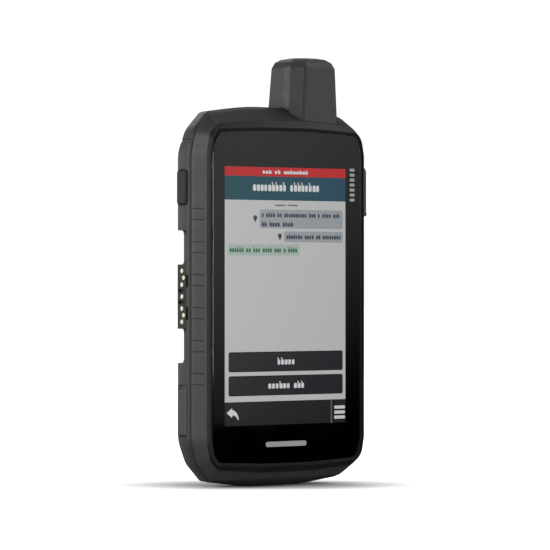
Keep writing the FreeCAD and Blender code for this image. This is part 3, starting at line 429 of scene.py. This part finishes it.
def page_ink():
    """Everything on top of the bars and bubbles: blocks for words, two map pins, an arrow and a menu."""
    white = lit("lit_light_ink", (0.62, 0.63, 0.65), (0.56, 0.57, 0.59))
    light = placeholder_words(-12.4, 12.4, 1.0, 2.1, (3, 2, 8), 3)
    light += placeholder_words(-17.6, 18.6, 6.2, 4.6, (9, 8), 5)
    light += placeholder_words(-4.4, 5.2, BUTTON_TOPS[0] + 2.5, LETTER_HIGH, (5,), 7)
    light += placeholder_words(-9.4, 10.4, BUTTON_TOPS[1] + 2.5, LETTER_HIGH, (6, 3), 9)
    light.append(back_arrow(-28.4, 101.6, 6.4, 5.3))
    light += [band(26.5, 32.4, 101.8 + TICK_PITCH * i, 1.35, 0.4) for i in range(3)]
    show("screen_light_ink", light, "ink", white)
    dark_ink = lit("lit_dark_ink", (0.030, 0.040, 0.062))
    dark = placeholder_words(-5.6, 6.6, 15.5, 1.0, (5, 5), 11)
    dark += placeholder_words(-12.9, 29.6, 18.9, LINE_HIGH, (1, 4, 2, 10, 3, 1, 4, 3), 13)
    dark += placeholder_words(-12.9, 4.2, 22.8, LINE_HIGH, (2, 4, 4), 15)
    dark += placeholder_words(0.4, 30.2, 28.1, LINE_HIGH, (7, 4, 2, 8), 17)
    dark += [drop_marker(-16.4, 20.4, 3.0), drop_marker(-3.2, 28.0, 3.0)]
    show("screen_dark_ink", dark, "ink", dark_ink)
    green_ink = lit("lit_green_ink", (0.028, 0.135, 0.045))
    reply = placeholder_words(-30.0, 6.4, 33.7, 2.8, (6, 2, 3, 4, 3, 1, 4), 19)
    show("screen_green_ink", reply, "ink", green_ink)
    grey = lit("lit_divider", (0.13, 0.13, 0.13))
    show("screen_divider", [band(24.6, 25.2, FOOT_START + 0.2, FOOT_HIGH)], "ink", grey)


def screen_picture():
    page_and_bars()
    bubbles()
    buttons()
    page_ink()


# ---- print behind the glass ----
def glass_outline(inset_mm):
    """The back outline of the cover glass, drawn in by an amount, in mm."""
    data = NODES["cover_glass"].data
    back = max(v.co.y for v in data.vertices)
    ring = {(round(v.co.x, 6), round(v.co.z, 6)) for v in data.vertices if abs(v.co.y - back) < 1e-5}
    middle_z = (GLASS_LOW[2] + GLASS_HIGH[2]) / 2
    ring = sorted(ring, key=lambda p: math.atan2(p[1] - middle_z, p[0]))
    drawn = []
    for x, z in ring:
        out = Vector((x, z - middle_z))
        drawn.append((x / MM - inset_mm * out.x / out.length, z / MM - inset_mm * out.y / out.length))
    return drawn


def glass_print():
    """The black surround printed behind the glass, with its plain marks."""
    z0, z1 = row(0, SCREEN_HIGH / MM)
    margin = 0.2
    window = rounded_rectangle(-HALF - margin, HALF + margin, z0 - margin, z1 + margin, 0.4)
    black = printed("surround_ink", 0.0004)
    plates("glass_surround", [glass_outline(0.15)], 1.34, PRINT_THICK, black, window)
    mark_ink = printed("mark_ink", 0.55)
    marks = [rounded_rectangle(-11.2, 10.8, 17.0, 19.2, 1.0)]
    ticks = [121.5 + TICK_PITCH * i for i in range(7)]
    marks += [rounded_rectangle(34.6, 37.4, z, z + 1.3, 0.6) for z in ticks]
    plates("glass_marks", marks, 1.30, PRINT_THICK, mark_ink)


# ---- finishes of the CAD nodes ----
def finish_nodes():
    steel = metal("satin_steel", (0.56, 0.56, 0.58), 0.34, (1, 1, 12), 0.25)
    black_steel = metal("black_steel", (0.09, 0.09, 0.095), 0.38)
    gold = metal("gold_plate", (0.86, 0.66, 0.30), 0.22)
    pale_gold = metal("worn_gold_plate", (0.97, 0.90, 0.72), 0.42)
    tin = metal("tinned_sheet", (0.64, 0.64, 0.62), 0.36)
    cast = metal("cast_alloy", (0.55, 0.55, 0.57), 0.5, grain_mm=0.6)
    ceramic = moulded("patch_ceramic", 0.5, 0.6, tone=(1.0, 0.93, 0.78))
    seal = moulded("seal_rubber", 0.006, 0.75, grain=0.1, wear_and_highlight=0.2)
    finishes = {
        # Painted shade on the bezel: darker towards the glass lip, darker along its top, and darker in
        # corners.
        "front_bezel": moulded("bezel_plastic", 0.055, 0.46, grain=0.22, painted_nook_shade=(4.0, 0.4),
                               painted_light_ramps=[("Y", 1.3, 1.8, 0.22, 1.0), ("Z", 150.0, 154.0, 1.0, 0.6)]),
        # Painted light and shade on the casing: darker near the front, lighter towards the back, and darker
        # in corners.
        "rear_housing": moulded("casing_plastic", 0.060, 0.50, grain=0.28, painted_nook_shade=(3.0, 0.4),
                                painted_light_ramps=[("Y", 10.5, 17.0, 0.7, 1.35)]),
        "battery_door": moulded("door_plastic", 0.055, 0.52, grain=0.30),
        # Painted shade on the antenna cover: darker in its corners and hollows.
        "antenna_cover": moulded("antenna_plastic", 0.050, 0.50, grain=0.18, painted_nook_shade=(6.0, 0.4)),
        # Painted shade on the contact block: darker in its corners.
        "contact_block": moulded("block_plastic", 0.024, 0.45, tone=(1.12, 1.0, 0.9), painted_nook_shade=(3.0, 0.3)),
        "power_button": moulded("button_rubber", 0.018, 0.6, grain=0.15, sheen=0.1),
        "sos_button": moulded("distress_button", 0.03, 0.6, grain=0.15),
        "usb_cap": moulded("cap_rubber", 0.062, 0.55, sheen=0.1),
        "sos_cap": moulded("guard_rubber", 0.066, 0.52, sheen=0.1),
        "jack_cap": moulded("jack_cap_rubber", 0.06, 0.55, sheen=0.1),
        "lens_gasket": seal, "housing_seal": seal, "antenna_seal": seal, "battery_seal": seal,
        "cover_glass": pane("clear_glass"),
        "lcd_panel": printed("panel_face", 0.002),
        "backlight_tray": moulded("tray_plastic", 0.7, 0.5),
        "display_flex": moulded("flex_film", 0.25, 0.35, tone=(1.2, 0.6, 0.12)),
        "chassis_plate": cast,
        "main_board": laminate("board_laminate"),
        "board_screws": steel, "housing_screws": black_steel,
        "shield_cans": tin, "usb_port": tin, "card_socket": tin,
        "patch_antenna": ceramic, "antenna_former": ceramic,
        "antenna_traces": gold, "antenna_feed": gold, "antenna_jack": gold, "contact_pins": pale_gold,
        "battery_springs": gold,
        "usb_tongue": moulded("tongue_plastic", 0.02, 0.4),
        "memory_card": moulded("card_plastic", 0.015, 0.35),
        "speaker": moulded("speaker_frame", 0.03, 0.5),
        "speaker_mesh": woven("speaker_cloth", 0.01, 0.3),
        "power_switch": moulded("switch_body", 0.04, 0.45),
        "sos_switch": moulded("switch_body_right", 0.04, 0.45),
        "battery_pack": moulded("battery_case", 0.035, 0.4),
        "catch_plate": steel, "latch_rotor": steel, "latch_ring": steel,
    }
    for name, material in finishes.items():
        slots = NODES[name].data.materials
        if not slots:
            slots.append(material)
        for index in range(len(slots)):
            slots[index] = material


# ---- floor, light and camera ----
def empty_material(name):
    """A material with nothing in it yet, and the graph to fill it with."""
    material = bpy.data.materials.new(name)
    material.use_nodes = True
    material.node_tree.nodes.clear()
    return material, Graph(material.node_tree)


def stage_plane(name, size, location, rotation, material):
    half = size / 2
    corners = [(-half, -half, 0), (half, -half, 0), (half, half, 0), (-half, half, 0)]
    data = bpy.data.meshes.new(name)
    data.from_pydata(corners, [], [(0, 1, 2, 3)])
    piece = bpy.data.objects.new(name, data)
    piece.location = location
    piece.rotation_euler = rotation
    bpy.context.collection.objects.link(piece)
    data.materials.append(material)
    return piece


def pale_floor():
    """A white floor that is pure white further off; near the unit its glow fades out in a squeezed oval, a
    painted shadow that the real soft shadow on its lit white darkens further.

    Matt surfaces get an even light from it, and mirrors see it black.
    """
    material, graph = empty_material("pale_floor")
    coords = graph.add("ShaderNodeTexCoord")
    turned = graph.add("ShaderNodeMapping", {"Rotation": (0, 0, VIEW_TURN)}, {0: coords.outputs["Object"]})
    squeezed = graph.add("ShaderNodeVectorMath", {1: (1.0, SHADOW_SQUEEZE, 1.0)}, {0: turned.outputs[0]},
                         operation="MULTIPLY")
    away = graph.add("ShaderNodeVectorMath", links={0: squeezed.outputs[0]}, operation="LENGTH")
    # Painted shadow: the floor's glow fades out near the unit, in an oval that is shallower along the line of
    # view.
    rise = graph.add("ShaderNodeMapRange", {1: SHADOW_START, 2: SHADOW_END, 3: 0.0, 4: FLOOR_GLOW},
                     {0: away.outputs["Value"]}, interpolation_type="SMOOTHSTEP")
    glow = graph.add("ShaderNodeEmission", links={"Strength": rise.outputs[0]})
    white = graph.add("ShaderNodeBsdfDiffuse", {"Color": (FLOOR_WHITE, FLOOR_WHITE, FLOOR_WHITE, 1)})
    seen = graph.add("ShaderNodeAddShader", links={0: white.outputs[0], 1: glow.outputs[0]})
    bounce = graph.add("ShaderNodeEmission", {"Strength": FLOOR_BOUNCE})
    black = graph.add("ShaderNodeBsdfDiffuse", {"Color": (0, 0, 0, 1)})
    rays = graph.add("ShaderNodeLightPath")
    unseen = graph.pick(rays.outputs["Is Glossy Ray"], bounce, black)
    whole = graph.pick(rays.outputs["Is Camera Ray"], unseen, seen)
    graph.add("ShaderNodeOutputMaterial", links={0: whole.outputs[0]})
    stage_plane("floor", FLOOR_WIDE, (0, 0, 0), (0, 0, 0), material)


def surroundings():
    """White to the eye, a dim even grey to matt surfaces, black to mirrors."""
    world = bpy.data.worlds.new("surroundings")
    world.use_nodes = True
    world.node_tree.nodes.clear()
    graph = Graph(world.node_tree)
    seen = graph.add("ShaderNodeBackground", {"Color": (1, 1, 1, 1), "Strength": SKY_SEEN})
    felt = graph.add("ShaderNodeBackground", {"Color": (1, 1, 1, 1), "Strength": SKY_FELT})
    black = graph.add("ShaderNodeBackground", {"Color": (0, 0, 0, 1)})
    rays = graph.add("ShaderNodeLightPath")
    unseen = graph.pick(rays.outputs["Is Glossy Ray"], felt, black)
    whole = graph.pick(rays.outputs["Is Camera Ray"], unseen, seen)
    graph.add("ShaderNodeOutputWorld", links={0: whole.outputs[0]})
    bpy.context.scene.world = world


def softbox(name, location, size, power):
    """A soft rectangular light aimed at the unit's middle."""
    light = bpy.data.lights.new(name, "AREA")
    light.shape = "RECTANGLE"
    light.size, light.size_y = size
    light.energy = power
    lamp = bpy.data.objects.new(name, light)
    lamp.location = location
    lamp.rotation_euler = (CENTRE - Vector(location)).to_track_quat("-Z", "Y").to_euler()
    bpy.context.collection.objects.link(lamp)
    lamp.visible_camera = False


def reflected_card():
    """A card off to the right, seen only in the glass, that fades towards its lower right corner."""
    material, graph = empty_material("card_light")
    coords = graph.add("ShaderNodeTexCoord")
    split = graph.add("ShaderNodeSeparateXYZ", links={0: coords.outputs["Object"]})
    lean = graph.add("ShaderNodeMath", {1: CARD_LEAN}, {0: split.outputs["X"], 2: split.outputs["Y"]},
                     operation="MULTIPLY_ADD")
    fade = graph.add("ShaderNodeMapRange", {1: CARD_DARK, 2: CARD_FULL, 3: 0.0, 4: CARD_GLOW},
                     {0: lean.outputs[0]}, interpolation_type="SMOOTHSTEP")
    glow = graph.add("ShaderNodeEmission", links={"Strength": fade.outputs[0]})
    graph.add("ShaderNodeOutputMaterial", links={0: glow.outputs[0]})
    away = Vector((LOOK.x, -LOOK.y, 0)) * CARD_AWAY
    turn = (-away).to_track_quat("Z", "Y").to_euler()
    card = stage_plane("card", CARD_WIDE, away + Vector((0, 0, CARD_HEIGHT)), turn, material)
    card.visible_camera = False
    card.visible_diffuse = False
    card.visible_shadow = False


def lights():
    for name, (place, size, power) in LIGHTS.items():
        softbox(name, place, size, power)
    reflected_card()


def camera():
    """Level, about 1.4 m away, turned so that the glass and the left side both show."""
    view = bpy.data.cameras.new("camera")
    view.sensor_width = SENSOR_MM
    view.lens = LENS_MM
    eye = bpy.data.objects.new("camera", view)
    right = Vector((LOOK.y, -LOOK.x, 0))
    eye.location = Vector((0, GLASS_FACE, VIEW_HEIGHT)) - VIEW_AWAY * LOOK - VIEW_ASIDE * right
    eye.rotation_euler = LOOK.to_track_quat("-Z", "Y").to_euler()
    bpy.context.collection.objects.link(eye)
    bpy.context.scene.camera = eye


def colour_management():
    scene = bpy.context.scene
    scene.view_settings.view_transform = "Standard"
    scene.view_settings.look = "None"


camera()
colour_management()
pale_floor()
surroundings()
lights()
finish_nodes()
screen_picture()
glass_print()
